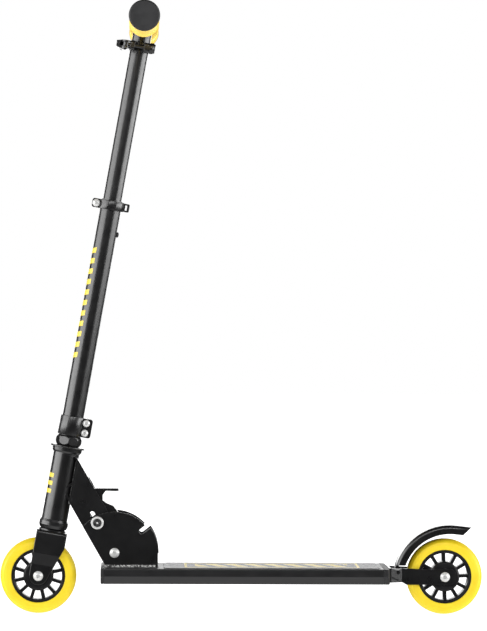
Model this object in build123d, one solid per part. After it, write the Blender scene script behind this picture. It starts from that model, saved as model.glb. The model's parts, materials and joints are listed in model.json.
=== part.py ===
from build123d import *
import math
import os

# Two-wheel folding kick scooter. Millimetres.
# +X runs from the front wheel to the rear wheel, +Y to the rider's right, +Z up.
# The origin is on the ground, midway between the two wheels.

# ---- driving dimensions ----
WHEELBASE = 535.0
WHEEL_R = 50.0
WHEEL_W = 24.0
STEER_LEAN = 10.0            # degrees, the stem leans back
FORK_OFFSET = 7.5            # front axle ahead of the steering axis

PIVOT_BACK = 100.0           # fold pivot behind the front axle
PIVOT_Z = 81.0
FOLD_ANGLE = 81.4            # degrees between the two lock notches
LOCK_DIR = 120.0             # direction of the neck's centre line from the pivot, degrees above +X
LOCK_SEAT_R = 45.5           # pivot to seated lock pin
LOCK_TRAVEL = 13.4           # the pin's way out of its notch

DECK_FRONT = 82.0            # behind the front axle
DECK_REAR = 460.5
DECK_W = 100.0
DECK_TOP = 62.5
DECK_BOTTOM = 42.0
DECK_WALL = 2.2
FRONT_CAP = 4.0
REAR_CAP = 8.0

BAR_T = 737.5                # handlebar centre, measured along the steering axis
BAR_HALF = 165.0

# ---- derived places ----
FRONT_X = -WHEELBASE / 2
REAR_X = WHEELBASE / 2
PIVOT_X = FRONT_X + PIVOT_BACK
DECK_X0 = FRONT_X + DECK_FRONT
DECK_X1 = FRONT_X + DECK_REAR
LEAN = math.radians(STEER_LEAN)
STEER_X = FRONT_X + FORK_OFFSET * math.cos(LEAN)
STEER_Z = WHEEL_R - FORK_OFFSET * math.sin(LEAN)
STEER = Pos(STEER_X, 0, STEER_Z) * Rot(0, STEER_LEAN, 0)

# ---- wheel ----
RIM_R = 35.4
RIM_IN_R = 31.0
BOSS_R = 19.7
SPOKES = 12
SPOKE_W = 4.4
BEARING_R = 11.0
BEARING_W = 7.0
AXLE_R = 3.95
AXLE_HOLE_R = 4.0
FRONT_SPOKE_PHASE = 13.0
REAR_SPOKE_PHASE = 2.0

# ---- layers across the width, as distances from the middle plane ----
DROPOUT_IN = 14.0            # inner face of the fork ends and the rear arms
SHEET = 3.0                  # steel plate thickness
NECK_IN = 14.5
NECK_OUT = NECK_IN + SHEET
SECTOR_IN = 18.0
SECTOR_OUT = SECTOR_IN + SHEET
GAP = 0.3

# ---- stem and headset, radii and stations along the steering axis ----
CROWN_TOP = 60.8
HEAD_T0 = 76.0
HEAD_T1 = 165.0
HEAD_R = 17.0
HEAD_BORE = 15.0
STEERER_R = 12.7
STEERER_BORE = 10.7
STEERER_T1 = 216.0
WASHER_T0 = 172.0
WASHER_T1 = 174.2
NUT_T1 = 188.2
LOWER_R = 14.0
LOWER_BORE = 12.75
LOWER_T0 = 188.5
LOWER_T1 = 502.5
UPPER_R = 12.4
UPPER_BORE = 11.2
UPPER_T0 = 402.0
UPPER_T1 = 720.0
QUILL_R = 11.15
QUILL_BORE = 9.6
QUILL_T0 = 560.0
BAR_R = 11.1
BAR_BORE = 9.3
SLEEVE_R = 12.4
CLAMP_T0 = 188.8
CLAMP_H = 25.0
COLLAR_T0 = 489.5
COLLAR_H = 12.0
BUTTON_T = 458.8
BUTTON_R = 3.5
HOLE_PITCH = 50.0
QR_T = 706.7                 # middle of the quick-release clamp
QR_H = 13.0
QR_Y = -19.0                 # skewer line, on the rider's left of the stem
CAM_X = -18.6

# ---- lock latch and folding bracket ----
NECK_HALF = 19.0
NECK_END_R = 16.0
SADDLE_FRONT = 14.9          # end plate of the neck, behind the steering axis
SADDLE_REAR = 17.8
SECTOR_R = 54.0
SECTOR_R_REAR = 58.0
NOTCH_W = 7.0
PIN_R = 2.9
SPRING_L0 = 86.6             # return spring, along the neck from the pivot
SPRING_L1 = 104.3
PIN_SLOT_HALF = 3.2

# ---- rear bracket and brake ----
ARM_HALF_H = 10.3
ARM_END = 15.0               # arm reaches this far behind the rear axle
ARM_WIDE_IN = 20.0
ARM_STEP0 = 3.2              # the arms step in between these distances behind the deck
ARM_STEP1 = 17.5
BRAKE_X = FRONT_X + 473.0
BRAKE_Z = 56.0
BRAKE_PIN_R = 2.5
BRAKE_BARREL = 10.8          # half length of the hinge barrel
FENDER_HALF = 17.5
FENDER_SHEET = 2.5
FENDER_DEPTH = 11.4
FENDER_EDGE_R = 5.0
FENDER_R = 73.5
FENDER_CENTRE_X = FRONT_X + 541.5
FENDER_CENTRE_Z = 44.5
FENDER_TAIL_X = FRONT_X + 569.6
FENDER_STOP = 84.0           # the arc turns into a straight tail here
FENDER_FOOT_Z = 65.0         # the sides end here, above the arms


# Turns a face drawn with (y, z) so that it faces along X.
FACING_X = Rot(0, 0, 90) * Rot(90, 0, 0)


def outline(*points):
    """A flat face with straight sides through the points."""
    return make_face(Polyline(*points, close=True))


def side_plate(face, y_low, y_high):
    """A plate whose outline is drawn with X and Z, filling y_low to y_high."""
    return Pos(0, y_high, 0) * Rot(90, 0, 0) * extrude(face, y_high - y_low)


def both_sides(face, y_in, y_out):
    """The same plate on the left and on the right, as two solids."""
    return side_plate(face, y_in, y_out) + side_plate(face, -y_out, -y_in)


def tube(r_out, r_in, z0, z1):
    """A round tube along Z."""
    ring = Circle(r_out) - Circle(r_in)
    return Pos(0, 0, z0) * extrude(ring, z1 - z0)


def rod(r, z0, z1):
    """A round bar along Z."""
    return Pos(0, 0, z0) * extrude(Circle(r), z1 - z0)


def across(x, z, shape):
    """Lays a shape made along Z across the scooter: its +Z end points to the rider's left."""
    return Pos(x, 0, z) * Rot(90, 0, 0) * shape


def turned(*points):
    """A solid of revolution about Z, from (radius, height) points."""
    return revolve(Rot(90, 0, 0) * outline(*points), Axis.Z)


def wheel_turned(face):
    """A solid of revolution about Y, from a face drawn with (radius, y)."""
    return revolve(face, Axis.Y)


def button_bolt(shank_r, head_r, head_h, y_seat, y_end, socket=2.6):
    """A dome-headed bolt along Z: head seat at y_seat, shank down to -y_end."""
    dome_r = (head_r ** 2 + head_h ** 2) / (2 * head_h) + 0.6
    head = rod(head_r, y_seat, y_seat + head_h)
    head = head & (Pos(0, 0, y_seat + head_h - dome_r) * Sphere(dome_r))
    hexagon = Pos(0, 0, y_seat + head_h - 2.2) * extrude(RegularPolygon(socket, 6), 4)
    return head + rod(shank_r, -y_end, y_seat) - hexagon


def hex_nut(hole_r, radius, z0, z1):
    return Pos(0, 0, z0) * extrude(RegularPolygon(radius, 6) - Circle(hole_r), z1 - z0)


# ---------------- wheels ----------------
def tyre():
    side = WHEEL_W / 2
    tread = ThreePointArc((45, -side + 0.8), (WHEEL_R, 0), (45, side - 0.8))
    rest = Polyline((45, side - 0.8), (42, side), (36.4, side), (RIM_R, side - 0.8), (RIM_R, 4),
                    (37.6, 3), (37.6, -3), (RIM_R, -4), (RIM_R, -side + 0.8), (36.4, -side),
                    (42, -side), (45, -side + 0.8))
    return wheel_turned(make_face(tread + rest))


def wheel_core(phase):
    side = WHEEL_W / 2 - 0.8
    rim = wheel_turned(outline((RIM_IN_R, -side + 1.5), (RIM_IN_R + 1.5, -side), (RIM_R, -side), (RIM_R, -4),
                               (37.6, -3), (37.6, 3), (RIM_R, 4), (RIM_R, side),
                               (RIM_IN_R + 1.5, side), (RIM_IN_R, side - 1.5)))
    half = WHEEL_W / 2
    seat = half - BEARING_W
    boss = wheel_turned(outline((7, -seat), (BEARING_R, -seat), (BEARING_R, -half), (BOSS_R - 2, -half),
                                (BOSS_R, -half + 2), (BOSS_R, half - 2), (BOSS_R - 2, half),
                                (BEARING_R, half), (BEARING_R, seat), (7, seat)))
    core = rim + boss
    length = RIM_IN_R - BOSS_R + 2
    for i in range(SPOKES):
        spoke = Pos((RIM_IN_R + BOSS_R) / 2, 0, 0) * Box(length, 14, SPOKE_W)
        core += Rot(0, -phase - i * 360 / SPOKES, 0) * spoke
    return core


def bearing_pair():
    half = WHEEL_W / 2
    groove = 0.4
    pair = Part()
    for side in (-1, 1):
        outer = side * half
        inner = side * (half - BEARING_W)
        face = outline((AXLE_HOLE_R, inner), (BEARING_R, inner), (BEARING_R, outer), (9.4, outer),
                       (9.2, outer - side * groove), (6.2, outer - side * groove), (6.0, outer),
                       (AXLE_HOLE_R, outer))
        pair += wheel_turned(face)
    return pair


def bearing_spacer():
    seat = WHEEL_W / 2 - BEARING_W
    return wheel_turned(Pos(5.15, 0) * Rectangle(2.3, 2 * seat))


def axle_bolt(y_face):
    return button_bolt(AXLE_R, 6.4, 4.4, y_face, y_face + 9)


def axle_nut(y_face):
    end = -y_face - 6.5
    nut = hex_nut(AXLE_HOLE_R, 7.4, end, -y_face)
    return nut & turned((0, end), (6.6, end), (7.6, end + 1), (7.6, -y_face), (0, -y_face))


def axle_spacers():
    half = WHEEL_W / 2
    return tube(6.2, AXLE_HOLE_R, half + 0.1, DROPOUT_IN) + tube(6.2, AXLE_HOLE_R, -DROPOUT_IN, -half - 0.1)


# ---------------- fork and headset, drawn upright along Z ----------------
def fork():
    end = Pos(-FORK_OFFSET, 0) * Circle(12)
    crown = Pos(0, CROWN_TOP - 10) * Rectangle(40, 20)
    side = make_hull((end + crown).edges())
    step0, step1 = 15.0, 30.0
    thin = DROPOUT_IN
    wide = DROPOUT_IN + SHEET
    outer = outline((-thin - SHEET, -14), (-thin - SHEET, step0), (-wide - SHEET, step1),
                    (-wide - SHEET, CROWN_TOP), (wide + SHEET, CROWN_TOP), (wide + SHEET, step1),
                    (thin + SHEET, step0), (thin + SHEET, -14))
    inner = outline((-thin, -15), (-thin, step0), (-wide, step1), (-wide, CROWN_TOP - SHEET),
                    (wide, CROWN_TOP - SHEET), (wide, step1), (thin, step0), (thin, -15))
    top_corners = outer.vertices().filter_by(lambda v: v.Y > CROWN_TOP - 1)
    outer = fillet(top_corners, 4)
    front_view = FACING_X * extrude(outer - inner, 30, both=True)
    legs = side_plate(side, -30, 30) & front_view
    legs -= rod(STEERER_R, 40, 80)
    legs -= across(-FORK_OFFSET, 0, rod(AXLE_HOLE_R + 0.05, -30, 30))
    return legs


def crown_race():
    return turned((STEERER_R, CROWN_TOP), (17.5, CROWN_TOP), (17.5, CROWN_TOP + 1.6), (15, CROWN_TOP + 3.2),
                  (STEERER_R, CROWN_TOP + 3.2))


def lower_cup():
    bottom = CROWN_TOP + 3.5
    return turned((16.6, bottom), (17.6, bottom), (19, bottom + 4), (19, HEAD_T0 - 3), (17.6, HEAD_T0),
                  (HEAD_BORE, HEAD_T0), (HEAD_BORE, HEAD_T0 + 9), (13.6, HEAD_T0 + 9), (13.6, bottom + 6.5),
                  (16.6, bottom + 6.5))


def upper_cup():
    top = WASHER_T0 - GAP
    return turned((13.6, HEAD_T1 - 9), (HEAD_BORE, HEAD_T1 - 9), (HEAD_BORE, HEAD_T1), (17.4, HEAD_T1),
                  (19.2, HEAD_T1 + 2.5), (19.6, top), (17.6, top), (17.6, top - 4.6), (13.6, top - 4.6))


def headset_bearings():
    low = CROWN_TOP + 3.5
    high = WASHER_T0 - GAP - 4.6
    section = [(13.3, 0.9), (14.2, 0), (15.6, 0), (16.5, 0.9), (16.5, 3.2), (15.6, 4), (14.2, 4), (13.3, 3.2)]
    lower = turned(*[(r, low + z + 2.4) for r, z in section])
    upper = turned(*[(r, high + z * 0.75) for r, z in section])
    return lower + upper


def upper_race():
    return tube(17.2, STEERER_R, WASHER_T0 - 1.2, WASHER_T0)


def locknut():
    """Octagonal nut, one corner to each side, with strongly rounded ends."""
    middle = (WASHER_T1 + NUT_T1) / 2
    nut = Pos(0, 0, WASHER_T1) * extrude(RegularPolygon(17.0, 8) - Circle(STEERER_R), NUT_T1 - WASHER_T1)
    barrel = ThreePointArc((14.4, WASHER_T1), (17.1, middle), (14.4, NUT_T1))
    ends = Polyline((14.4, NUT_T1), (0, NUT_T1), (0, WASHER_T1), (14.4, WASHER_T1))
    return nut & revolve(Rot(90, 0, 0) * make_face(barrel + ends), Axis.Z)


# ---------------- stem ----------------
def slot_cut(x, y, z, length_x, length_y, length_z):
    return Pos(x, y, z) * Box(length_x, length_y, length_z)


def lower_stem():
    stem = tube(LOWER_R, LOWER_BORE, LOWER_T0, LOWER_T1)
    stem -= slot_cut(LOWER_R, 0, LOWER_T0 + 16, 6, 2.5, 36)
    stem -= slot_cut(-LOWER_R, 0, LOWER_T1 - 8, 6, 2.5, 20)
    stem -= Pos(0, 0, BUTTON_T) * Rot(0, 90, 0) * rod(BUTTON_R + 0.05, 5, 20)
    return stem


def clamp_band(r_in, r_out, z0, height, ear_x0, ear_x1, ear_half, slit):
    """A clamp band with a pair of ears towards ear_x1 and a slit between them."""
    middle = z0 + height / 2
    ears = Pos((ear_x0 + ear_x1) / 2, 0, middle) * Box(abs(ear_x1 - ear_x0), 2 * ear_half, height)
    far = max if ear_x1 > 0 else min
    tip = far(v.X for v in ears.vertices())
    corner_edges = ears.edges().filter_by(Axis.Y).filter_by(lambda e: abs(e.center().X - tip) < 0.1)
    ears = fillet(corner_edges, 3)
    band = rod(r_out, z0, z0 + height) + ears - rod(r_in, z0 - 1, z0 + height + 1)
    return band - slot_cut(ear_x1, 0, middle, 2 * abs(ear_x1) - 8, slit, height + 2)


def stem_clamp():
    clamp = clamp_band(LOWER_R, 16.2, CLAMP_T0, CLAMP_H, 12, 27, 9, 2.5)
    for z in clamp_bolt_stations():
        clamp -= across(19, z, rod(3.05, -12, 12))
    return clamp


def clamp_bolt_stations():
    middle = CLAMP_T0 + CLAMP_H / 2
    return (middle - 6.5, middle + 6.5)


def clamp_bolts():
    bolts = Part()
    for z in clamp_bolt_stations():
        bolts += across(19, z, button_bolt(3.0, 4.6, 4.0, 9, 14, 2.2) + hex_nut(3.0, 5.6, -13.5, -9))
    return bolts


def mid_collar():
    collar = clamp_band(LOWER_R, 16.8, COLLAR_T0, COLLAR_H, -12, -25.5, 8, 2.5)
    middle = COLLAR_T0 + COLLAR_H / 2
    loop = Pos(19.5, 0, middle) * Box(9, 10, COLLAR_H - 1)
    loop = fillet(loop.edges().filter_by(Axis.Y), 2)
    neck = Pos(15.6, 0, middle) * Box(3, 10, COLLAR_H - 2)
    collar += loop + (neck - rod(LOWER_R + 1, 400, 600))
    collar -= Pos(19.6, 0, middle) * Box(2.4, 12, 6.6)
    return collar - across(-20, middle, rod(3.05, -12, 12))


def collar_bolt():
    middle = COLLAR_T0 + COLLAR_H / 2
    return across(-20, middle, button_bolt(3.0, 4.9, 3.6, 8, 13, 2.2) + hex_nut(3.0, 5.1, -12.5, -8))


def upper_stem():
    stem = tube(UPPER_R, UPPER_BORE, UPPER_T0, UPPER_T1)
    stem -= slot_cut(0, -UPPER_R, UPPER_T1 - 12, 4, 6, 28)
    for i in range(4):
        stem -= Pos(0, 0, BUTTON_T + i * HOLE_PITCH) * Rot(0, 90, 0) * rod(BUTTON_R + 0.1, 5, 20)
    return stem


def stem_plug():
    return turned((0, UPPER_T0 - 4), (LOWER_BORE - 0.07, UPPER_T0 - 4), (LOWER_BORE - 0.07, UPPER_T0),
                  (UPPER_BORE, UPPER_T0), (UPPER_BORE, UPPER_T0 + 10), (0, UPPER_T0 + 10))


def snap_button():
    shank = rod(BUTTON_R, LOWER_BORE + 0.05, 18)
    dome = Pos(0, 0, 16.6 - 5.5) * Sphere(5.5)
    return Pos(0, 0, BUTTON_T) * Rot(0, 90, 0) * (shank & dome)


def button_spring():
    """A bent leaf inside the upper tube, whose free end carries the button's back."""
    leaf = outline((10.8, -2), (10.8, 3), (9.9, 3), (9.9, -1.5), (-6, -27), (-10.2, -27), (-10.2, -4),
                   (-10.8, -4), (-10.8, -28), (-5.5, -28))
    return Pos(0, 0, BUTTON_T) * side_plate(leaf, -2.5, 2.5)


def qr_clamp():
    half = QR_H / 2
    band = rod(13.9, QR_T - half, QR_T + half)
    ears = Pos(-9.8, QR_Y + 3.5, QR_T) * Box(5.6, 15, QR_H) + Pos(9.2, QR_Y + 3.5, QR_T) * Box(7.6, 15, QR_H)
    ears = fillet(ears.edges().filter_by(Axis.X).filter_by(lambda e: e.center().Y < QR_Y), 4)
    clamp = band + ears - rod(UPPER_R, QR_T - 20, QR_T + 20)
    clamp -= slot_cut(0, -UPPER_R, QR_T, 4, 8, 30)
    return clamp - Pos(0, QR_Y, QR_T) * Rot(0, 90, 0) * rod(2.55, -30, 30)


def qr_skewer():
    """Skewer rod with the eye for the cam pin at the front and its nut at the rear."""
    line = Pos(0, QR_Y, QR_T) * Rot(0, 90, 0)
    eye = Pos(CAM_X, QR_Y, QR_T) * Cylinder(3.8, 5)
    shaft = line * rod(2.5, CAM_X, 16)
    nut = line * turned((0, 13), (7.3, 13), (7.3, 16.6), (5.6, 20), (0, 20))
    return eye + shaft + nut - Pos(CAM_X, QR_Y, QR_T) * Cylinder(2.05, 8)


def qr_lever():
    """Cam and curved lever: closed, it wraps round the front of the stem."""
    ring_mid = 29.6
    blade_half = 2.3
    start, stop = 194.0, 150.0
    sweep_arc = CenterArc((0, 0), ring_mid, stop, start - stop)
    ends = [sweep_arc @ 0, sweep_arc @ 1]
    blade = trace(sweep_arc, 2 * blade_half)
    blade += Pos(ends[0].X, ends[0].Y) * Circle(blade_half)
    cam = Pos(CAM_X, QR_Y) * Circle(5.6)
    arm = make_hull((cam + Pos(ends[1].X, ends[1].Y) * Circle(blade_half)).edges())
    plan = Pos(0, 0, QR_T - 8) * extrude(cam + arm + blade, 13.5)
    profile = outline((-12, -5.5), (-12, 5.5), (-24, 5.0), (-33, 3.8), (-33, -3.2), (-27, -5.6),
                      (-22, -8), (-18, -8), (-15, -5.5))
    lever = plan & (Pos(0, 0, QR_T) * side_plate(profile, -40, 40))
    lever -= Pos(CAM_X, QR_Y, QR_T) * Cylinder(8.4, 5.6)
    pin = Pos(CAM_X, QR_Y, QR_T) * Cylinder(2.0, 11)
    return lever + pin


# ---------------- handlebar ----------------
def handlebar():
    cross = across(0, BAR_T, rod(BAR_R, -BAR_HALF + 4, BAR_HALF - 4))
    quill = rod(QUILL_R, QUILL_T0, BAR_T)
    sleeve = rod(SLEEVE_R, UPPER_T1 + 0.4, BAR_T)
    bar = cross + quill + sleeve
    bar -= across(0, BAR_T, rod(BAR_BORE, -BAR_HALF, BAR_HALF))
    return bar - rod(QUILL_BORE, QUILL_T0 - 1, BAR_T - 8)


def grip(side):
    """A moulded grip with a flange at each end; side -1 is the rider's left."""
    y_in, y_out = 45.0, BAR_HALF - 4.2
    face = outline((BAR_R, y_in), (18.6, y_in), (19.7, y_in + 1.2), (19.7, y_in + 3.5), (17.0, y_in + 7),
                   (16.6, 80), (17.0, 130), (17.2, y_out - 7), (19.7, y_out - 3.5), (19.7, y_out),
                   (BAR_R, y_out))
    turned_face = face if side > 0 else mirror(face, Plane.XZ)
    return Pos(0, 0, BAR_T) * wheel_turned(turned_face)


def end_caps():
    caps = Part()
    y_in, y_out = BAR_HALF - 4, BAR_HALF
    for side in (-1, 1):
        face = outline((0, side * (y_in - 12)), (BAR_BORE, side * (y_in - 12)), (BAR_BORE, side * y_in),
                       (20, side * y_in), (20, side * (y_in + 2.2)), (18.2, side * y_out), (0, side * y_out))
        caps += Pos(0, 0, BAR_T) * wheel_turned(face)
    return caps


# ---------------- neck, in the scooter's frame ----------------
def neck_frame():
    """Local X runs from the fold pivot up the neck's centre line, local Y to its front edge."""
    return Pos(PIVOT_X, PIVOT_Z) * Rot(0, 0, LOCK_DIR)


def neck_outline():
    tip = Circle(NECK_END_R)
    strip = Pos(92, 0) * Rectangle(140, 2 * NECK_HALF)
    waist = make_hull((tip + Pos(25, 0) * Rectangle(4, 2 * NECK_HALF)).edges())
    slot = Pos(LOCK_SEAT_R + LOCK_TRAVEL / 2, 0) * SlotCenterToCenter(LOCK_TRAVEL, 2 * PIN_SLOT_HALF)
    return neck_frame() * (strip + waist - slot - Circle(9.0))


def behind_head(x_local):
    """Everything in front of a plane parallel to the steering axis, to be cut away."""
    return STEER * Pos(x_local - 200, 0, 100) * Box(400, 200, 500)


def head_space():
    """The head tube's own space and everything above its upper end."""
    return STEER * (rod(HEAD_R, 0, 260) + Pos(0, 0, HEAD_T1 + 97) * Box(300, 200, 200))


def neck_plates():
    plates = both_sides(neck_outline(), NECK_IN, NECK_OUT)
    return plates - behind_head(SADDLE_REAR) - head_space()


def neck_webs():
    """Cross sheets between the neck plates: front, rear, spring seat and the saddle on the head tube."""
    front = Pos(84, NECK_HALF - 1.5) * Rectangle(104, 3)
    rear = Pos(129, -NECK_HALF + 1.5) * Rectangle(54, 3)
    seat = Pos(SPRING_L1 + 1.5, -2) * Rectangle(3, 2 * NECK_HALF - 10)
    webs = side_plate(neck_frame() * (front + rear + seat), -NECK_IN, NECK_IN)
    saddle = side_plate(neck_frame() * (Pos(110, 0) * Rectangle(120, 2 * NECK_HALF)), -NECK_OUT, NECK_OUT)
    saddle = (saddle & behind_head(SADDLE_REAR)) - behind_head(SADDLE_FRONT)
    return (webs - behind_head(0)) + saddle - head_space()


def pivot_tube():
    return across(PIVOT_X, PIVOT_Z, tube(9.0, 4.05, -NECK_OUT - 0.3, NECK_OUT + 0.3))


# ---------------- lock ----------------
def polar(radius, degrees):
    angle = math.radians(degrees)
    return (radius * math.cos(angle), radius * math.sin(angle))


def release_latch():
    """Finger latch: two cheeks on the lock pin, joined by the hook and the thumb tab."""
    body = outline((66, 76.5), (71, 83.5), (74, 84.2), (105, 84.2), (105, 80.5), (88, 80.8), (84, 75.2),
                   (84, 68.7), (90, 64.4), (97.8, 61.4), (102, 56.5), (105, 51), (98, 45), (84, 32), (74, 31.6),
                   (70, 38), (73, 44), (79, 51), (78, 59), (72, 68))
    body -= Pos(92.5, 72.6) * Circle(8.0)
    inside = outline((60, 25), (68, 39), (76, 49), (80, 58), (97, 57.4), (102, 50), (96, 37), (85, 25))
    place = Pos(FRONT_X, PIVOT_Z)
    latch = side_plate(place * body, -14.2, 14.2) - side_plate(place * inside, -11.2, 11.2)
    seat_x, seat_z = polar(LOCK_SEAT_R, LOCK_DIR)
    return latch - across(PIVOT_X + seat_x, PIVOT_Z + seat_z, rod(PIN_R, -20, 20))


def lock_pin():
    seat_x, seat_z = polar(LOCK_SEAT_R, LOCK_DIR)
    half = SECTOR_IN - GAP
    return across(PIVOT_X + seat_x, PIVOT_Z + seat_z, rod(PIN_R, -half, half))


def lock_rings():
    """Ring and pin end on each outer face of the bracket."""
    seat_x, seat_z = polar(LOCK_SEAT_R, LOCK_DIR)
    start = SECTOR_OUT + GAP
    ring = turned((0, start), (8.4, start), (8.4, start + 1.6), (7.6, start + 2.6), (6.2, start + 2.6),
                  (5.4, start + 1.2), (3.4, start + 1.2), (3.2, start + 2.8), (0, start + 3.2))
    pair = ring + Rot(180, 0, 0) * ring
    return across(PIVOT_X + seat_x, PIVOT_Z + seat_z, pair)


def lock_spring():
    """Outer shape of the coil spring between the latch and its seat in the neck."""
    spring = tube(3.2, 2.2, SPRING_L0, SPRING_L1)
    return Pos(PIVOT_X, 0, PIVOT_Z) * Rot(0, 90 - LOCK_DIR, 0) * Pos(12.5, 0, 0) * spring


# ---------------- folding bracket on the deck ----------------
def sector_plates():
    rear_x, foot_z = SECTOR_R_REAR - 1, DECK_TOP - PIVOT_Z
    disc = Circle(SECTOR_R)
    big = Circle(SECTOR_R_REAR)
    notch_dir = LOCK_DIR - FOLD_ANGLE
    past_notch = outline((0, 0), polar(90, notch_dir), (90, 0))
    foot = outline((-30, foot_z), (-30, 0), (rear_x, 0), (rear_x, foot_z))
    above = outline((-80, 0), (-80, 80), (80, 80), (80, 0))
    face = (disc & above) + (big & past_notch) + foot
    front_edge = Rot(0, 0, LOCK_DIR) * Pos(0, NECK_HALF + 100) * Rectangle(400, 200)
    face -= front_edge
    for direction in (LOCK_DIR, notch_dir):
        notch = Pos(LOCK_SEAT_R, 0) * Circle(NOTCH_W / 2) + Pos(LOCK_SEAT_R + 20, 0) * Rectangle(40, NOTCH_W)
        face -= Rot(0, 0, direction) * notch
    face -= Circle(AXLE_HOLE_R + 0.05)
    return both_sides(Pos(PIVOT_X, PIVOT_Z) * face, SECTOR_IN, SECTOR_OUT)


def sector_welds():
    size = 2.5
    length = 66.0
    bead = outline((SECTOR_OUT, DECK_TOP), (SECTOR_OUT + size, DECK_TOP), (SECTOR_OUT, DECK_TOP + size))
    right = Pos(PIVOT_X - 12, 0, 0) * FACING_X * extrude(bead, length)
    return right + mirror(right, Plane.XZ)


# ---------------- deck ----------------
def deck_section(inset):
    """Half-octagon section of the deck, drawn with (y, z)."""
    half = DECK_W / 2 - inset
    top, bottom = DECK_TOP - inset, DECK_BOTTOM + inset
    edge = DECK_TOP - 10
    return outline((-half, top), (half, top), (half, edge), (half - 8.5, bottom),
                   (-half + 8.5, bottom), (-half, edge))


def along_x(face, x0, x1):
    """Extrudes a face drawn with (y, z) from x0 to x1."""
    return Pos(x0, 0, 0) * FACING_X * extrude(face, x1 - x0)


def deck_board():
    section = deck_section(0)
    section = fillet(section.vertices().filter_by(lambda v: v.Y > DECK_TOP - 1), 1.6)
    hollow = deck_section(DECK_WALL)
    for y in (-17, 17):
        hollow -= Pos(y, (DECK_TOP + DECK_BOTTOM) / 2) * Rectangle(2, 40)
    return along_x(section - hollow, DECK_X0 + FRONT_CAP, DECK_X1 - REAR_CAP)


def deck_cap(x_face, x_board, plug_x):
    """End cap: a rounded plate over the board's end with three plugs in its chambers."""
    low, high = min(x_face, x_board), max(x_face, x_board)
    plate = along_x(deck_section(0), low, high)
    outer_edges = plate.edges().filter_by(lambda e: abs(e.center().X - x_face) < 0.01)
    plate = fillet(outer_edges, 1.5)
    plugs = deck_section(DECK_WALL + 0.1)
    for y in (-17, 17):
        plugs -= Pos(y, (DECK_TOP + DECK_BOTTOM) / 2) * Rectangle(2.2, 40)
    return plate + along_x(plugs, min(x_board, plug_x), max(x_board, plug_x))


def grip_tape():
    x0, x1 = DECK_X0 + 82, DECK_X1 - 12
    sheet = Pos((x0 + x1) / 2, 0, DECK_TOP) * extrude(RectangleRounded(x1 - x0, 86, 8), 0.8)
    return sheet


# ---------------- rear bracket and brake ----------------
def rear_bracket():
    """Folded plate: a web on the deck's end, and two arms that step in towards the wheel."""
    web_x = DECK_X1
    top, bottom = WHEEL_R + ARM_HALF_H, WHEEL_R - ARM_HALF_H
    side = outline((web_x, BRAKE_Z + 6), (REAR_X - 30, top), (REAR_X + ARM_END, top),
                   (REAR_X + ARM_END, bottom), (web_x + 24, bottom),
                   (web_x + 5, 50.3), (web_x + SHEET, 50.3), (web_x + SHEET, DECK_BOTTOM + 1),
                   (web_x, DECK_BOTTOM + 1))
    side = fillet(side.vertices().filter_by(lambda v: v.X > REAR_X), 8)
    step0, step1 = web_x + ARM_STEP0, web_x + ARM_STEP1
    wide, thin = ARM_WIDE_IN, DROPOUT_IN
    end = REAR_X + 30
    outer = outline((web_x, -wide - SHEET), (step0, -wide - SHEET), (step1, -thin - SHEET),
                    (end, -thin - SHEET), (end, thin + SHEET), (step1, thin + SHEET),
                    (step0, wide + SHEET), (web_x, wide + SHEET))
    inner = outline((web_x + SHEET, -wide), (step0, -wide), (step1, -thin), (end + 1, -thin),
                    (end + 1, thin), (step1, thin), (step0, wide), (web_x + SHEET, wide))
    bracket = side_plate(side, -40, 40) & extrude(outer - inner, 120)
    foot_z, foot_x = DECK_BOTTOM + 1, web_x + 20
    foot = outline((web_x, foot_z), (foot_x, foot_z), (foot_x, foot_z + 2.2), (web_x, foot_z + 2.2))
    bracket += side_plate(foot, -40, 40) & extrude(outer, 120)
    lip = outline((web_x, foot_z), (foot_x, foot_z), (web_x + 7, 50.8), (web_x, 50.8))
    middle = Pos(web_x, 0) * Rectangle(80, 2 * (thin + 0.4))
    bracket += side_plate(lip, -40, 40) & extrude(inner - middle, 120)
    bracket -= across(REAR_X, WHEEL_R, rod(AXLE_HOLE_R + 0.05, -30, 30))
    bracket -= across(BRAKE_X, BRAKE_Z, rod(BRAKE_PIN_R, -40, 40))
    for y in (-9, 9):
        bracket -= Pos(web_x, y, 51) * Rot(0, 90, 0) * rod(3.0, -5, 10)
    return bracket


def bracket_bolts():
    bolts = Part()
    for y in (-9, 9):
        bolt = rod(3.0, -6, SHEET) + rod(5.0, SHEET, SHEET + 1.8)
        bolts += Pos(DECK_X1, y, 51) * Rot(0, 90, 0) * bolt
    return bolts


def rear_cap():
    """The rear cap's two corners are cut off at a slant, seen from above."""
    cap = deck_cap(DECK_X1, DECK_X1 - REAR_CAP, DECK_X1 - REAR_CAP - 14)
    half = DECK_W / 2
    for side in (-1, 1):
        outside = DECK_X1 + 5
        corner = outline((DECK_X1 - 3, side * half), (outside, side * half), (outside, side * (half - 16)))
        cap -= extrude(corner, 100)
    for y in (-9, 9):
        cap -= Pos(DECK_X1, y, 51) * Rot(0, 90, 0) * rod(3.0, -6, 10)
    return cap


def brake_pin():
    """Hinge pin, riveted about flush with the arms, halfway down their step."""
    step = (BRAKE_X - DECK_X1 - ARM_STEP0) / (ARM_STEP1 - ARM_STEP0)
    half = ARM_WIDE_IN + SHEET - (ARM_WIDE_IN - DROPOUT_IN) * step
    return across(BRAKE_X, BRAKE_Z, rod(BRAKE_PIN_R, -half, half))


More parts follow.
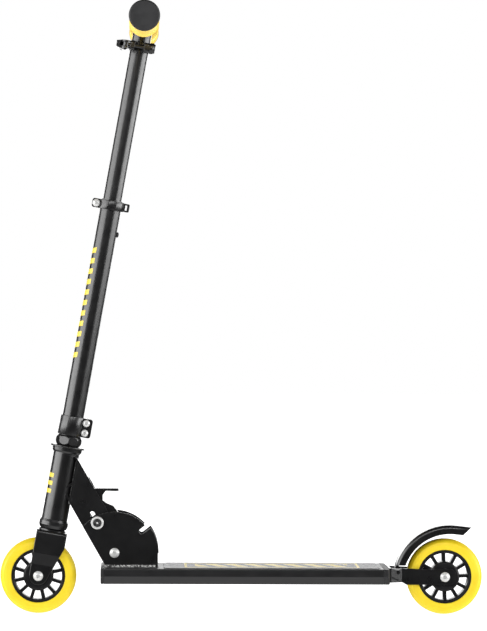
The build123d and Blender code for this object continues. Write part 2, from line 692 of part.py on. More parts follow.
def fender_curve(inset, tail_x):
    """The fender's side line, inset from the outer one: three points of an arc and its tangent's end."""
    r = FENDER_R - inset
    points = []
    for degrees in (164.0, (164.0 + FENDER_STOP) / 2, FENDER_STOP):
        x, z = polar(r, degrees)
        points.append((FENDER_CENTRE_X + x, FENDER_CENTRE_Z + z))
    x, z = points[-1]
    fall = math.tan(math.radians(90 - FENDER_STOP))
    return points + [(tail_x, z - (tail_x - x) * fall)]


def fender_band(inset0, inset1, tail_x0, tail_x1):
    """The strip between two lines of the fender."""
    a0, a1, a2, a3 = fender_curve(inset0, tail_x0)
    b0, b1, b2, b3 = fender_curve(inset1, tail_x1)
    lines = ThreePointArc(a0, a1, a2) + Line(a2, a3) + Line(a3, b3) + Line(b3, b2)
    lines += ThreePointArc(b2, b1, b0) + Line(b0, a0)
    return make_face(lines)


def on_outer_line(edge):
    reach = [math.hypot(v.X - FENDER_CENTRE_X, v.Z - FENDER_CENTRE_Z) for v in edge.vertices()]
    return min(reach) > FENDER_R - 0.1 and abs(abs(edge.center().Y) - FENDER_HALF) < 0.01


def brake_fender():
    """Sheet fender with deep rounded sides, and a tongue down to its hinge barrel between the arms."""
    band = fender_band(0, FENDER_DEPTH, FENDER_TAIL_X, FENDER_TAIL_X - 11)
    shell = side_plate(band, -FENDER_HALF, FENDER_HALF)
    shell = fillet(shell.edges().filter_by(on_outer_line), FENDER_EDGE_R)
    hollow = fender_band(FENDER_SHEET, 30, FENDER_TAIL_X + 10, FENDER_TAIL_X + 10)
    inner = FENDER_HALF - FENDER_SHEET
    shell -= side_plate(hollow, -inner, inner)
    shell -= Pos(BRAKE_X, 0, FENDER_FOOT_Z / 2) * Box(40, 60, FENDER_FOOT_Z)
    (x0, z0), (x1, z1) = (fender_curve(inset, 0)[0] for inset in (0, FENDER_SHEET))
    tongue = outline((x0, z0), (x1, z1), (x1 + 0.6, z1 + 2), (x0 + 0.6, z0 + 2))
    barrel = Pos(BRAKE_X, BRAKE_Z) * Circle(4.5)
    hinge = side_plate(make_hull((barrel + tongue).edges()), -BRAKE_BARREL, BRAKE_BARREL)
    return shell + hinge - across(BRAKE_X, BRAKE_Z, rod(BRAKE_PIN_R + 0.05, -30, 30))


def brake_spring():
    """Outer shape of the torsion spring on the hinge pin."""
    return across(BRAKE_X, BRAKE_Z, tube(4.6, 2.6, BRAKE_BARREL + 0.3, DROPOUT_IN - 0.2))


# ---------------- the whole scooter ----------------
def front_axle_line(shape):
    return STEER * across(-FORK_OFFSET, 0, shape)


def rear_axle_line(shape):
    return across(REAR_X, WHEEL_R, shape)


def build():
    arm_face = DROPOUT_IN + SHEET
    front_hub = Pos(FRONT_X, 0, WHEEL_R)
    rear_hub = Pos(REAR_X, 0, WHEEL_R)
    return {
        "deck_board": deck_board(),
        "deck_front_cap": deck_cap(DECK_X0, DECK_X0 + FRONT_CAP, DECK_X0 + FRONT_CAP + 14),
        "deck_rear_cap": rear_cap(),
        "grip_tape": grip_tape(),
        "sector_plates": sector_plates(),
        "sector_welds": sector_welds(),
        "pivot_bolt": across(PIVOT_X, PIVOT_Z, button_bolt(4.0, 6.4, 4.4, SECTOR_OUT, SECTOR_OUT + 9)),
        "pivot_nut": across(PIVOT_X, PIVOT_Z, axle_nut(SECTOR_OUT)),
        "rear_bracket": rear_bracket(),
        "bracket_bolts": bracket_bolts(),
        "rear_axle_bolt": rear_axle_line(axle_bolt(arm_face)),
        "rear_axle_nut": rear_axle_line(axle_nut(arm_face)),
        "rear_axle_spacers": rear_axle_line(axle_spacers()),
        "brake_pin": brake_pin(),
        "brake_fender": brake_fender(),
        "brake_spring": brake_spring(),
        "rear_tyre": rear_hub * tyre(),
        "rear_wheel_core": rear_hub * wheel_core(REAR_SPOKE_PHASE),
        "rear_bearings": rear_hub * bearing_pair(),
        "rear_bearing_spacer": rear_hub * bearing_spacer(),
        "front_tyre": front_hub * tyre(),
        "front_wheel_core": front_hub * wheel_core(FRONT_SPOKE_PHASE),
        "front_bearings": front_hub * bearing_pair(),
        "front_bearing_spacer": front_hub * bearing_spacer(),
        "head_tube": STEER * tube(HEAD_R, HEAD_BORE, HEAD_T0, HEAD_T1),
        "neck_plates": neck_plates(),
        "neck_webs": neck_webs(),
        "pivot_tube": pivot_tube(),
        "upper_cup": STEER * upper_cup(),
        "lower_cup": STEER * lower_cup(),
        "headset_bearings": STEER * headset_bearings(),
        "release_latch": release_latch(),
        "lock_pin": lock_pin(),
        "lock_rings": lock_rings(),
        "lock_spring": lock_spring(),
        "fork": STEER * fork(),
        "steerer_tube": STEER * tube(STEERER_R, STEERER_BORE, CROWN_TOP - SHEET, STEERER_T1),
        "crown_race": STEER * crown_race(),
        "upper_race": STEER * upper_race(),
        "disc_washer": STEER * tube(22.5, STEERER_R, WASHER_T0, WASHER_T1),
        "locknut": STEER * locknut(),
        "lower_stem": STEER * lower_stem(),
        "stem_clamp": STEER * stem_clamp(),
        "stem_clamp_bolts": STEER * clamp_bolts(),
        "mid_collar": STEER * mid_collar(),
        "mid_collar_bolt": STEER * collar_bolt(),
        "front_axle_bolt": front_axle_line(axle_bolt(arm_face)),
        "front_axle_nut": front_axle_line(axle_nut(arm_face)),
        "front_axle_spacers": front_axle_line(axle_spacers()),
        "snap_button": STEER * snap_button(),
        "upper_stem": STEER * upper_stem(),
        "stem_plug": STEER * stem_plug(),
        "button_spring": STEER * button_spring(),
        "qr_clamp": STEER * qr_clamp(),
        "qr_skewer": STEER * qr_skewer(),
        "qr_lever": STEER * qr_lever(),
        "handlebar": STEER * handlebar(),
        "grip_left": STEER * grip(-1),
        "grip_right": STEER * grip(1),
        "end_caps": STEER * end_caps(),
    }


os.makedirs("parts", exist_ok=True)
for name, shape in build().items():
    export_step(shape, f"parts/{name}.step")
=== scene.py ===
import json
import math

import bpy
from mathutils import Matrix, Vector


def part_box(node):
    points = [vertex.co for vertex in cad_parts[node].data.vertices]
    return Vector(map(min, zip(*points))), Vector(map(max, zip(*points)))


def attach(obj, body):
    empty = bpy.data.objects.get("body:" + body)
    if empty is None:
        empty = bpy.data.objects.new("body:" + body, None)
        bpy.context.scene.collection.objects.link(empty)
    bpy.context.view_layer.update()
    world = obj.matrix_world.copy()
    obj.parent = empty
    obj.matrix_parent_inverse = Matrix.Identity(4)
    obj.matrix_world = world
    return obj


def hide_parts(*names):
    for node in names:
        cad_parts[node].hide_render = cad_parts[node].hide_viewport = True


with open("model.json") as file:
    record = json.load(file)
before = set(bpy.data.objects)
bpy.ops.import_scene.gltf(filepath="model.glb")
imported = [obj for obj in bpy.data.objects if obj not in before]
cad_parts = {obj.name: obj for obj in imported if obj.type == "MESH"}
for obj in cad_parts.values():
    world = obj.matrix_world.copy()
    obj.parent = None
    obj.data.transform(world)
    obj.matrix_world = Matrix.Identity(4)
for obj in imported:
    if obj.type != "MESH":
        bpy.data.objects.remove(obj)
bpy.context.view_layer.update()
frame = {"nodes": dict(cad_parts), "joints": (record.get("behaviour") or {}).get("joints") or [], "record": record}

# Folding kick scooter. Metres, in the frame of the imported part:
# +X from the front wheel to the rear wheel, +Y to the rider's right, +Z up.

MM = 0.001
GRIP_BORE = 11.1 * MM
CAMERA_PLACE = (-0.1394, -4.5, 0.4523)
CAMERA_ANGLES = (-1.783, 90 - 0.756, 0.312)    # pan, tilt and roll, degrees
CAMERA_LENS = 194.94                           # mm, on a 36 mm sensor
JOINTS = {joint["name"]: joint for joint in frame["joints"]}
NODES = frame["nodes"]


# ---------------- places taken from the frame ----------------
def joint_frame(name):
    """A matrix whose Z runs along the joint's axis from its anchor, with Y across the scooter."""
    joint = JOINTS[name]
    z = Vector(joint["axis"]).normalized()
    y = Vector((0, 1, 0))
    x = y.cross(z)
    turn = Matrix((x, y, z)).transposed().to_4x4()
    return Matrix.Translation(joint["pos_m"]) @ turn


STEER = joint_frame("steer")


def span(node, matrix=STEER, axis=2):
    """Lowest and highest reach of a node along one axis of a matrix."""
    inverse = matrix.inverted()
    reach = [(inverse @ vertex.co)[axis] for vertex in NODES[node].data.vertices]
    return min(reach), max(reach)


def centre(node):
    low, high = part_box(node)
    return (low + high) / 2


# ---------------- materials ----------------
class Finish:
    """A principled material, with short calls for the nodes that feed it."""

    def __init__(self, name, **sockets):
        self.material = bpy.data.materials.new(name)
        self.material.use_nodes = True
        self.tree = self.material.node_tree
        self.shader = self.tree.nodes["Principled BSDF"]
        for socket, value in sockets.items():
            self.shader.inputs[socket.replace("_", " ")].default_value = value
        self.place = self.add("ShaderNodeTexCoord").outputs["Object"]

    def add(self, kind, **settings):
        node = self.tree.nodes.new(kind)
        for key, value in settings.items():
            setattr(node, key, value)
        return node

    def link(self, source, node, socket):
        self.tree.links.new(source, node.inputs[socket])

    def set(self, source, socket):
        self.link(source, self.shader, socket)

    def stretched(self, x, y, z):
        """The object's own coordinates, scaled per axis."""
        mapping = self.add("ShaderNodeMapping")
        mapping.inputs["Scale"].default_value = (x, y, z)
        self.link(self.place, mapping, "Vector")
        return mapping.outputs["Vector"]

    def noise(self, scale, detail=2.0, roughness=0.5, place=None):
        node = self.add("ShaderNodeTexNoise")
        node.inputs["Scale"].default_value = scale
        node.inputs["Detail"].default_value = detail
        node.inputs["Roughness"].default_value = roughness
        self.link(place or self.place, node, "Vector")
        return node.outputs["Fac"]

    def grains(self, scale, randomness=1.0):
        """Random value and distance of scattered grains, scale of them per metre."""
        node = self.add("ShaderNodeTexVoronoi")
        node.inputs["Scale"].default_value = scale
        node.inputs["Randomness"].default_value = randomness
        self.link(self.place, node, "Vector")
        return node

    def ramp(self, source, *stops):
        """Colours or greys at positions 0 to 1 of the source."""
        node = self.add("ShaderNodeValToRGB")
        elements = node.color_ramp.elements
        while len(elements) < len(stops):
            elements.new(0.5)
        for element, (position, colour) in zip(elements, stops):
            element.position = position
            element.color = grey(colour) if isinstance(colour, (int, float)) else (*colour, 1)
        self.link(source, node, "Fac")
        return node.outputs["Color"]

    def math(self, operation, a, b=None, c=None):
        node = self.add("ShaderNodeMath", operation=operation)
        for index, value in enumerate((a, b, c)):
            if value is None:
                continue
            if isinstance(value, (int, float)):
                node.inputs[index].default_value = value
            else:
                self.link(value, node, index)
        return node.outputs["Value"]

    def mix(self, factor, a, b):
        node = self.add("ShaderNodeMix", data_type="RGBA")
        self.link(factor, node, "Factor")
        for socket, value in ((6, a), (7, b)):
            if isinstance(value, tuple):
                node.inputs[socket].default_value = (*value, 1)
            else:
                self.link(value, node, socket)
        return node.outputs[2]

    def axes(self, place=None):
        node = self.add("ShaderNodeSeparateXYZ")
        self.link(place or self.place, node, "Vector")
        return node.outputs["X"], node.outputs["Y"], node.outputs["Z"]

    def bump(self, height, distance, strength=1.0, below=None):
        node = self.add("ShaderNodeBump")
        node.inputs["Distance"].default_value = distance
        node.inputs["Strength"].default_value = strength
        self.link(height, node, "Height")
        if below is not None:
            self.link(below, node, "Normal")
        return node.outputs["Normal"]


def grey(value):
    return (value, value, value, 1)


def gloss_black():
    """Powder-coated steel: orange peel, faint clouds and fine settled dust."""
    f = Finish("gloss_black", Specular_IOR_Level=1.0, Coat_Weight=0.4, Coat_Roughness=0.2)
    cloud = f.noise(35, 4)
    dark, pale = (0.0026, 0.0026, 0.0029), (0.0048, 0.0048, 0.0052)
    f.set(f.ramp(cloud, (0.3, dark), (0.7, pale)), "Base Color")
    smear = f.noise(90, 3, 0.6)
    f.set(f.ramp(smear, (0.3, 0.27), (0.75, 0.35)), "Roughness")
    peel = f.noise(600, 1.5)
    f.set(f.bump(peel, 0.02 * MM, 0.4), "Normal")
    return f.material


def deck_black():
    """Satin paint on extruded aluminium, with faint draw lines along the deck."""
    f = Finish("deck_black", Specular_IOR_Level=0.9)
    lines = f.noise(400, 2, 0.5, f.stretched(0.02, 1, 1))
    f.set(f.ramp(lines, (0.3, (0.004, 0.004, 0.0045)), (0.7, (0.008, 0.008, 0.0085))), "Base Color")
    f.set(f.ramp(f.noise(60, 3), (0.3, 0.34), (0.7, 0.44)), "Roughness")
    fine = f.bump(f.noise(1500, 2), 0.02 * MM, 0.5)
    f.set(f.bump(lines, 0.05 * MM, 0.4, below=fine), "Normal")
    return f.material


def steel():
    """Bright zinc plating: pale and satin, with fine turning marks and duller patches."""
    f = Finish("steel", Metallic=0.35, Specular_IOR_Level=0.8)
    patches = f.noise(300, 3, 0.6)
    f.set(f.ramp(patches, (0.3, (0.66, 0.66, 0.65)), (0.7, (0.86, 0.86, 0.85))), "Base Color")
    marks = f.noise(2500, 2, 0.6)
    f.set(f.ramp(marks, (0.3, 0.28), (0.7, 0.44)), "Roughness")
    f.set(f.bump(marks, 0.02 * MM, 0.5), "Normal")
    return f.material


def bearing_steel():
    """Ground bearing steel, cleaner than the plated parts, with light oil stains."""
    f = Finish("bearing_steel", Metallic=1.0)
    stain = f.noise(220, 3)
    f.set(f.ramp(stain, (0.35, (0.38, 0.38, 0.39)), (0.65, (0.60, 0.60, 0.60))), "Base Color")
    f.set(f.ramp(stain, (0.3, 0.16), (0.7, 0.3)), "Roughness")
    f.set(f.bump(f.noise(3000, 1), 0.01 * MM, 0.4), "Normal")
    return f.material


def spring_steel():
    """Dark oiled spring wire."""
    f = Finish("spring_steel", Metallic=1.0)
    streak = f.noise(900, 3, 0.6)
    f.set(f.ramp(streak, (0.3, (0.16, 0.16, 0.17)), (0.7, (0.34, 0.34, 0.35))), "Base Color")
    f.set(f.ramp(streak, (0.3, 0.25), (0.7, 0.4)), "Roughness")
    return f.material


def moulded(name, low, high, rough, grain_scale, grain_depth):
    """Injection-moulded plastic or rubber with an even grain and slight flow clouds."""
    f = Finish(name, Specular_IOR_Level=0.45)
    f.set(f.ramp(f.noise(70, 3), (0.3, low), (0.7, high)), "Base Color")
    f.set(f.ramp(f.noise(160, 3), (0.3, rough - 0.06), (0.7, rough + 0.06)), "Roughness")
    f.set(f.bump(f.noise(grain_scale, 2, 0.6), grain_depth * MM, 0.6), "Normal")
    return f.material


def cap_black():
    return moulded("cap_black", (0.013, 0.013, 0.014), (0.022, 0.022, 0.023), 0.5, 1400, 0.06)


def core_black():
    return moulded("core_black", (0.006, 0.006, 0.007), (0.012, 0.012, 0.013), 0.34, 1100, 0.03)


def tyre_yellow():
    """Cast polyurethane: slightly translucent, satin, with fine scuffs on the tread."""
    f = Finish("tyre_yellow", Specular_IOR_Level=0.4,
               Subsurface_Weight=0.12, Subsurface_Scale=0.004)
    f.shader.inputs["Subsurface Radius"].default_value = (1.0, 0.6, 0.1)
    cloud = f.noise(45, 4)
    f.set(f.ramp(cloud, (0.3, (0.78, 0.57, 0.012)), (0.7, (0.85, 0.65, 0.020))), "Base Color")
    f.set(f.ramp(f.noise(240, 3, 0.6), (0.3, 0.34), (0.7, 0.48)), "Roughness")
    f.set(f.bump(f.noise(900, 3, 0.6), 0.03 * MM, 0.5), "Normal")
    return f.material


def grip_yellow():
    """Soft rubber with a matt skin."""
    f = Finish("grip_yellow", Specular_IOR_Level=0.35)
    cloud = f.noise(80, 3)
    f.set(f.ramp(cloud, (0.3, (0.80, 0.54, 0.09)), (0.7, (0.86, 0.61, 0.12))), "Base Color")
    f.set(f.ramp(f.noise(300, 2), (0.3, 0.5), (0.7, 0.66)), "Roughness")
    f.set(f.bump(f.noise(2200, 2, 0.7), 0.04 * MM, 0.7), "Normal")
    return f.material


def decal_yellow():
    """Printed film: even colour with a fine print grain and a satin face."""
    f = Finish("decal_yellow", Specular_IOR_Level=0.5)
    dark, pale = (0.72, 0.55, 0.06), (0.80, 0.63, 0.09)
    f.set(f.ramp(f.noise(500, 3), (0.3, dark), (0.7, pale)), "Base Color")
    f.set(f.ramp(f.noise(200, 2), (0.3, 0.28), (0.7, 0.4)), "Roughness")
    f.set(f.bump(f.noise(2600, 2), 0.01 * MM, 0.5), "Normal")
    return f.material


def weld_steel():
    """Weld metal under paint: glossy black, with pale spots painted into its colour as glints on the ripples."""
    f = Finish("weld_steel", Specular_IOR_Level=0.6)
    painted_glints = f.noise(420, 3, 0.7)
    # Pale grey spots in the base colour: painted glints on the weld ripples.
    f.set(f.ramp(painted_glints, (0.44, (0.014, 0.014, 0.015)), (0.58, (0.62, 0.62, 0.61))), "Base Color")
    f.set(f.ramp(painted_glints, (0.5, 0.25), (0.7, 0.42)), "Roughness")
    f.set(f.bump(f.noise(1200, 3), 0.12 * MM, 0.6), "Normal")
    return f.material


def inside_rectangle(f, x, y, x0, x1, half_y):
    """1 inside the rectangle, 0 outside."""
    along = f.math("MULTIPLY", f.math("GREATER_THAN", x, x0), f.math("LESS_THAN", x, x1))
    return f.math("MULTIPLY", along, f.math("LESS_THAN", f.math("ABSOLUTE", y), half_y))


def grip_tape():
    """Grit tape with a printed frame and slanted bars. The grit glitters grain by grain."""
    f = Finish("grip_tape", Specular_IOR_Level=0.6, Sheen_Weight=0.1, Sheen_Roughness=0.45)
    low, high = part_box("grip_tape")
    x, y, _ = f.axes()
    x0, x1 = low.x + 28 * MM, high.x - 27 * MM
    half, line = 33 * MM, 3.2 * MM
    bar_pitch, bar_margin, bar_half = 26 * MM, 14 * MM, 19 * MM
    outer = inside_rectangle(f, x, y, x0, x1, half)
    inner = inside_rectangle(f, x, y, x0 + line, x1 - line, half - line)
    border = f.math("SUBTRACT", outer, inner)
    slant = f.math("ADD", x, f.math("MULTIPLY", y, 0.45))
    stripe = f.math("GREATER_THAN", f.math("FRACT", f.math("DIVIDE", slant, bar_pitch)), 0.45)
    field = inside_rectangle(f, x, y, x0 + bar_margin, x1 - bar_margin, bar_half)
    gap = f.math("GREATER_THAN", f.math("ABSOLUTE", y), 1.6 * MM)
    bars = f.math("MULTIPLY", f.math("MULTIPLY", stripe, field), gap)
    grit = f.grains(900)
    shade = grit.outputs["Color"]
    dark = f.ramp(shade, (0.2, (0.015, 0.015, 0.016)), (0.9, (0.10, 0.10, 0.105)))
    print_yellow = f.ramp(shade, (0.1, (0.62, 0.42, 0.02)), (0.9, (0.97, 0.80, 0.12)))
    printed = f.math("MAXIMUM", border, bars)
    f.set(f.mix(printed, dark, print_yellow), "Base Color")
    f.set(f.ramp(shade, (0.2, 0.28), (0.8, 0.6)), "Roughness")
    f.set(f.bump(grit.outputs["Distance"], 0.35 * MM, 0.7), "Normal")
    return f.material


MAKERS = (gloss_black, deck_black, grip_tape, cap_black, core_black, tyre_yellow, grip_yellow,
          steel, bearing_steel, spring_steel, decal_yellow, weld_steel)
MATERIALS = {maker.__name__: maker() for maker in MAKERS}


def paint(obj, name):
    obj.data.materials.clear()
    obj.data.materials.append(MATERIALS[name])


def paint_frame():
    """Each CAD node gets the finish of its slot in the record."""
    finishes = {}
    for part in frame["record"]["subparts"]:
        finishes[part["node"]] = part["material_slot"]
    for name, obj in NODES.items():
        paint(obj, finishes[name])


# ---------------- mesh helpers ----------------
def mesh_piece(name, vertices, faces, matrix, material, body, smooth=True):
    """A new mesh object that rides on a body."""
    mesh = bpy.data.meshes.new(name)
    mesh.from_pydata([matrix @ Vector(v) for v in vertices], [], faces)
    mesh.validate()
    obj = bpy.data.objects.new(name, mesh)
    bpy.context.scene.collection.objects.link(obj)
    paint(obj, material)
    for polygon in mesh.polygons:
        polygon.use_smooth = smooth
    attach(obj, body)
    return obj


def grid_faces(rows, columns, wrap_rows, wrap_columns):
    """Quads over a grid of vertices stored row by row."""
    faces = []
    for i in range(rows if wrap_rows else rows - 1):
        for j in range(columns if wrap_columns else columns - 1):
            i2, j2 = (i + 1) % rows, (j + 1) % columns
            faces.append((i * columns + j, i * columns + j2, i2 * columns + j2, i2 * columns + j))
    return faces


def sweep(name, path, radius, matrix, material, body, sides=12, closed=False):
    """A round bar along a path. radius is a function of the step's number."""
    points = [Vector(p) for p in path]
    count = len(points)
    normal = None
    vertices = []
    for i, point in enumerate(points):
        ahead = points[(i + 1) % count] if closed or i < count - 1 else point
        behind = points[i - 1] if closed or i > 0 else point
        tangent = (ahead - behind).normalized()
        if normal is None:
            normal = tangent.orthogonal().normalized()
        normal = (normal - tangent * normal.dot(tangent)).normalized()
        other = tangent.cross(normal)
        for k in range(sides):
            a = 2 * math.pi * k / sides
            vertices.append(point + radius(i) * (math.cos(a) * normal + math.sin(a) * other))
    faces = grid_faces(count, sides, closed, True)
    if not closed:
        faces.append(tuple(range(sides - 1, -1, -1)))
        faces.append(tuple((count - 1) * sides + k for k in range(sides)))
    return mesh_piece(name, vertices, faces, matrix, material, body)


# ---------------- springs ----------------
def coil_path(radius, turns, length, steps=20):
    """A helix along Z with its two end turns closed up."""
    count = int(turns * steps)
    path = []
    for i in range(count + 1):
        u = i / count
        eased = u - math.sin(2 * math.pi * u) / (2 * math.pi) * 0.5
        a = 2 * math.pi * turns * u
        path.append((radius * math.cos(a), radius * math.sin(a), length * eased))
    return path


def lock_spring():
    """Compression spring behind the release latch."""
    slide = Vector(JOINTS["lock_slide"]["axis"]).normalized()
    turn = slide.to_track_quat("Z", "Y").to_matrix().to_4x4()
    place = Matrix.Translation(centre("lock_spring")) @ turn
    low, high = span("lock_spring", place)
    wire = 0.45 * MM
    radius = span("lock_spring", place, 1)[1] - wire
    path = coil_path(radius, 7, high - low - 2 * wire)
    place = place @ Matrix.Translation((0, 0, low + wire))
    spring = sweep("lock_spring_coil", path, lambda i: wire, place, "spring_steel", "neck", 10)
    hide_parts("lock_spring")


def brake_spring():
    """Torsion spring on the fender's hinge pin."""
    low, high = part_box("brake_spring")
    wire = 0.42 * MM
    radius = (high.z - low.z) / 2 - wire
    path = coil_path(radius, 3, high.y - low.y - 2 * wire)
    place = Matrix.Translation(((low.x + high.x) / 2, low.y + wire, (low.z + high.z) / 2))
    place = place @ Matrix.Rotation(-math.pi / 2, 4, "X")
    spring = sweep("brake_spring_coil", path, lambda i: wire, place, "spring_steel", "brake", 10)
    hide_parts("brake_spring")


# ---------------- welds ----------------
def bead(name, start, end, radius, matrix, body):
    """A weld bead of overlapping ripples."""
    start, end = Vector(start), Vector(end)
    length = (end - start).length
    ripple, steps = 1.9 * MM, 8
    count = int(length / ripple) * steps

    def size(i):
        if i in (0, count):
            return radius * 0.45
        step = (i % steps) / steps
        return radius * (0.80 + 0.2 * math.sqrt(1 - (2 * step - 1) ** 2))

    path = [start.lerp(end, i / count) for i in range(count + 1)]
    return sweep(name, path, size, matrix, "weld_steel", body, 14)


def sector_welds():
    """Seams along the feet of the folding bracket's two plates."""
    low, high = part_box("sector_welds")
    plate_low, plate_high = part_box("sector_plates")
    height = low.z + 0.7 * MM
    for side, y in (("left", plate_low.y), ("right", plate_high.y)):
        start, end = (low.x, y, height), (high.x, y, height)
        weld = bead("sector_weld_" + side, start, end, 2.3 * MM, Matrix(), "deck")
        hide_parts("sector_welds")


def neck_welds():
    """Seams between the neck's end plate and the head tube."""
    radius = span("head_tube", axis=1)[1]
    top = span("neck_webs")[1] - 1.5 * MM
    length, bead_radius = 61 * MM, 1.3 * MM
    behind = radius * 0.91
    aside = math.sqrt(radius ** 2 - behind ** 2) + 1.0 * MM
    for side, y in (("left", -aside), ("right", aside)):
        foot, head = (behind, y, top - length), (behind, y, top)
        weld = bead("neck_weld_" + side, foot, head, bead_radius, STEER, "neck")


# ---------------- printed decals ----------------
def curved_band(name, radius, half_angle, low, high, body):
    """A film on the front of a tube, between two edges given as functions of the angle."""
    steps = 20
    film = 0.12 * MM
    vertices = []
    for i in range(steps + 1):
        angle = half_angle * (2 * i / steps - 1)
        a = math.radians(angle)
        for r, edge in ((radius, low), (radius + film, low), (radius + film, high), (radius, high)):
            vertices.append((-r * math.cos(a), -r * math.sin(a), edge(angle)))
    faces = grid_faces(steps + 1, 4, False, True)
    faces.append((3, 2, 1, 0))
    faces.append(tuple(steps * 4 + k for k in range(4)))
    return mesh_piece(name, vertices, faces, STEER, "decal_yellow", body, smooth=False)


def printed_bars(name, tube, body, first, last, count, fill, slant, half_angle):
    """Plain bars on the front of a tube, from first to last of its length. fill is a bar's share
    of the pitch, and slant its rise in mm per degree."""
    radius = span(tube, axis=1)[1]
    low, high = span(tube)
    start, stop = low + first * (high - low), low + last * (high - low)
    pitch = (stop - start) / count
    for i in range(count):
        foot = start + i * pitch

        def low_edge(angle, foot=foot):
            return foot + (angle + half_angle) * slant * MM

        def high_edge(angle, foot=foot):
            return foot + fill * pitch + (angle + half_angle) * slant * MM

        curved_band(f"{name}_bar_{i + 1}", radius, half_angle, low_edge, high_edge, body)


def stem_decal():
    """A column of slanted bars, in place of the printed lettering."""
    printed_bars("stem_decal", "lower_stem", "steering", 0.312, 0.80, 11, 0.5, 0.05, 52)


def head_decal():
    """Three level bars, in place of the badge."""
    printed_bars("head_decal", "head_tube", "neck", 0.38, 0.73, 3, 0.55, 0.0, 50)


# ---------------- turned pieces ----------------
def lathe(name, profile, matrix, material, body, segments=96, shape=None):
    """A ring solid from a closed (radius, height) profile about the matrix's Z.
    shape(angle, radius, height) may change the radius."""
    vertices = []
    for k in range(segments):
        a = 2 * math.pi * k / segments
        for r, h in profile:
            radius = shape(a, r, h) if shape else r
            vertices.append((radius * math.cos(a), radius * math.sin(a), h))
    faces = grid_faces(segments, len(profile), True, True)
    return mesh_piece(name, vertices, faces, matrix, material, body)


def lock_ring_shade_cups():
    """Gloss black cup round each end of the lock pin, inside its bright ring: painted shade in the ring's recess.
    """
    low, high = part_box("lock_rings")
    middle = centre("lock_rings")
    tip = 3.2 * MM
    outside = ((1.4, 0.0), (3.0, -0.15), (3.42, -0.3), (3.55, -1.88), (5.35, -1.92))
    inside = ((5.35, -2.0), (3.42, -2.0), (3.3, -0.42), (2.9, -0.2), (1.4, -0.1))
    profile = [(r * MM, tip + h * MM + 0.12 * MM) for r, h in outside + inside]
    for side, y, turn in (("left", low.y, 90), ("right", high.y, -90)):
        inward = 1 if y < 0 else -1
        place = Matrix.Translation((middle.x, y + inward * tip, middle.z))
        place = place @ Matrix.Rotation(math.radians(turn), 4, "X")
        # The black cup puts painted shade into the recess of the bright ring.
        cup = lathe("lock_ring_shade_cup_" + side, profile, place, "gloss_black", "lock", 64)


def ribbed_grip(side):
    """Moulded grip: flanges, a diamond-knurled palm zone and rings at both ends."""
    node = "grip_" + side
    low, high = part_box(node)
    middle = centre(node)
    length = high.y - low.y
    outer = (high.z - low.z) / 2
    barrel = outer - 2.9 * MM
    flange, neck_end, rings_end = 3.6, 7.5, 19    # mm from the nearer end
    steps = 150
    profile = []
    for i in range(steps + 1):
        h = length * i / steps
        edge = min(h, length - h)
        r = barrel + 0.4 * MM * math.cos(math.pi * (h / length - 0.5) * 2) * -1
        if edge < flange * MM:
            r = outer
        elif edge < neck_end * MM:
            r = barrel + (outer - barrel) * (1 - (edge / MM - flange) / (neck_end - flange)) ** 2
        elif edge < rings_end * MM:
            share = (edge / MM - neck_end) / (rings_end - neck_end)
            r += 0.55 * MM * max(0.0, math.sin(share * 4 * math.pi))
        profile.append((r, h))
    profile[0] = (outer - 0.8 * MM, 0)
    profile[-1] = (outer - 0.8 * MM, length)
    profile += [(GRIP_BORE, length), (GRIP_BORE, 0)]

    def knurl(angle, radius, h):
        edge = min(h, length - h)
        if edge < 20 * MM or radius <= GRIP_BORE:
            return radius
        around, pitch = 20, 5.2 * MM
        a = math.cos(around * angle + 2 * math.pi * h / pitch / 2)
        b = math.cos(around * angle - 2 * math.pi * h / pitch / 2)
        return radius + 0.42 * MM * max(0.0, a * b)

    place = Matrix.Translation((middle.x, low.y, middle.z)) @ Matrix.Rotation(-math.pi / 2, 4, "X")
    grip = lathe(node + "_ribbed", profile, place, "grip_yellow", "bar", 240, knurl)
    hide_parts(node)


EDGE_RADII = {    # mm
    "neck_plates": 0.8, "sector_plates": 0.6, "fork": 0.9, "rear_bracket": 0.6,
    "release_latch": 0.6, "stem_clamp": 0.4, "mid_collar": 0.4, "qr_clamp": 0.4,
    "qr_lever": 0.7, "deck_board": 0.6, "deck_front_cap": 0.6, "deck_rear_cap": 0.6,
    "brake_fender": 0.4, "neck_webs": 0.4, "disc_washer": 0.5, "front_wheel_core": 0.5,
    "rear_wheel_core": 0.5, "end_caps": 1.2,
}


def round_edges():
    """Small rounded edges on the sheet and moulded parts, as paint and moulds leave them."""
    for name, radius in EDGE_RADII.items():
        obj = NODES[name]
        weld = obj.modifiers.new("join", "WELD")
        weld.merge_threshold = 0.002 * MM
        bevel = obj.modifiers.new("edges", "BEVEL")
        bevel.width = radius * MM
        bevel.segments = 2
        bevel.limit_method = "ANGLE"
        bevel.angle_limit = math.radians(35)
        bevel.harden_normals = True


# ---------------- the scene ----------------
def add_floor():
    """A pale plain floor that glows a little, and that reflections don't see."""
    half = 8.0
    mesh = bpy.data.meshes.new("floor")
    corners = [(-half, -half, 0), (half, -half, 0), (half, half, 0), (-half, half, 0)]
    mesh.from_pydata(corners, [], [(0, 1, 2, 3)])
    floor = bpy.data.objects.new("floor", mesh)
    bpy.context.scene.collection.objects.link(floor)
    f = Finish("floor_paint", Specular_IOR_Level=0.2, Roughness=0.7, Emission_Strength=0.98)
    f.set(f.ramp(f.noise(1.5, 3), (0.3, 0.50), (0.7, 0.52)), "Base Color")
    mesh.materials.append(f.material)
    floor.visible_glossy = False


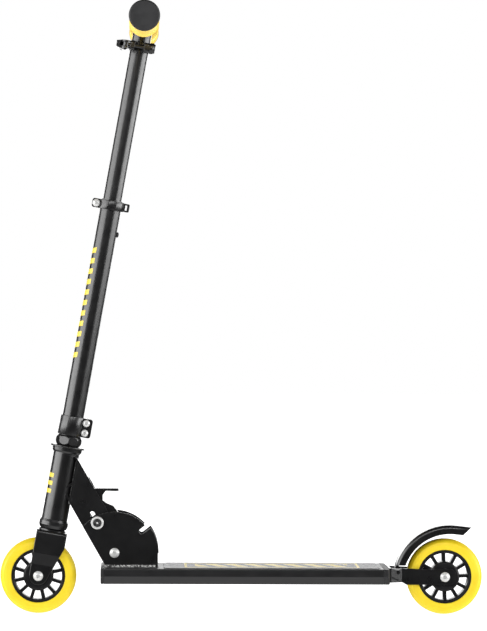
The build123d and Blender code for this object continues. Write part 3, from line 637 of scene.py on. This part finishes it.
def add_world():
    """White all round. Reflections see it dark from above and pale from below, as over a pale
    floor in a darkened studio, so that gloss paint stays black."""
    world = bpy.data.worlds.new("studio")
    world.use_nodes = True
    tree = world.node_tree
    link = tree.links.new
    path = tree.nodes.new("ShaderNodeLightPath")
    direction = tree.nodes.new("ShaderNodeSeparateXYZ")
    link(tree.nodes.new("ShaderNodeTexCoord").outputs["Generated"], direction.inputs[0])
    below = tree.nodes.new("ShaderNodeMapRange")
    settings = {"From Min": -0.65, "From Max": -0.40, "To Min": 0.60, "To Max": 0.02}
    for socket, value in settings.items():
        below.inputs[socket].default_value = value
    link(direction.outputs["Z"], below.inputs["Value"])
    glossy = tree.nodes.new("ShaderNodeMix")
    glossy.inputs["A"].default_value = 0.25
    link(path.outputs["Is Glossy Ray"], glossy.inputs["Factor"])
    link(below.outputs["Result"], glossy.inputs["B"])
    background = tree.nodes["Background"]
    background.inputs["Color"].default_value = (1, 1, 1, 1)
    seen = tree.nodes.new("ShaderNodeMath")
    seen.operation = "MAXIMUM"
    link(glossy.outputs["Result"], seen.inputs[0])
    link(path.outputs["Is Camera Ray"], seen.inputs[1])
    link(seen.outputs["Value"], background.inputs["Strength"])
    world.cycles.sampling_method = "NONE"
    bpy.context.scene.world = world


def add_softbox(name, place, aim, width, height, radiance):
    data = bpy.data.lights.new(name, "AREA")
    data.shape = "RECTANGLE"
    data.size, data.size_y = width, height
    data.energy = radiance * math.pi * width * height
    lamp = bpy.data.objects.new(name, data)
    direction = Vector(aim) - Vector(place)
    turn = direction.to_track_quat("-Z", "Y").to_matrix().to_4x4()
    lamp.matrix_world = Matrix.Translation(place) @ turn
    lamp.visible_camera = False
    bpy.context.scene.collection.objects.link(lamp)


SOFTBOXES = (    # name, place, aim, width, height, radiance
    ("left_low_softbox", (-2.5, -0.75, 0.47), (0, -0.1, 0.47), 3.4, 0.72, 3.7),
    ("left_high_softbox", (-2.5, -0.75, 1.55), (0, -0.1, 0.7), 3.6, 1.4, 2.9),
    ("right_low_softbox", (2.55, -0.55, 0.42), (0, -0.1, 0.42), 3.2, 0.82, 4.6),
    ("right_high_softbox", (2.55, -0.55, 1.55), (0, -0.1, 0.7), 3.2, 1.4, 1.9),
    ("front_softbox", (0, -3.0, 1.75), (0, 0, 0.3), 3.0, 0.5, 5.0),
    ("back_softbox", (0.2, 2.6, 0.6), (0, 0, 0.1), 3.4, 1.1, 2.7),
)


def add_camera():
    data = bpy.data.cameras.new("photo_camera")
    data.sensor_width = 36.0
    data.lens = CAMERA_LENS
    data.clip_end = 60.0
    camera = bpy.data.objects.new("photo_camera", data)
    pan, tilt, roll = (math.radians(a) for a in CAMERA_ANGLES)
    turn = Matrix.Rotation(pan, 4, "Z") @ Matrix.Rotation(tilt, 4, "X")
    turn = turn @ Matrix.Rotation(roll, 4, "Z")
    camera.matrix_world = Matrix.Translation(CAMERA_PLACE) @ turn
    bpy.context.scene.collection.objects.link(camera)
    bpy.context.scene.camera = camera


paint_frame()
round_edges()
lock_spring()
brake_spring()
sector_welds()
neck_welds()
stem_decal()
head_decal()
lock_ring_shade_cups()
ribbed_grip("left")
ribbed_grip("right")
add_floor()
add_world()
for softbox in SOFTBOXES:
    add_softbox(*softbox)
add_camera()
bpy.context.scene.view_settings.view_transform = "Standard"
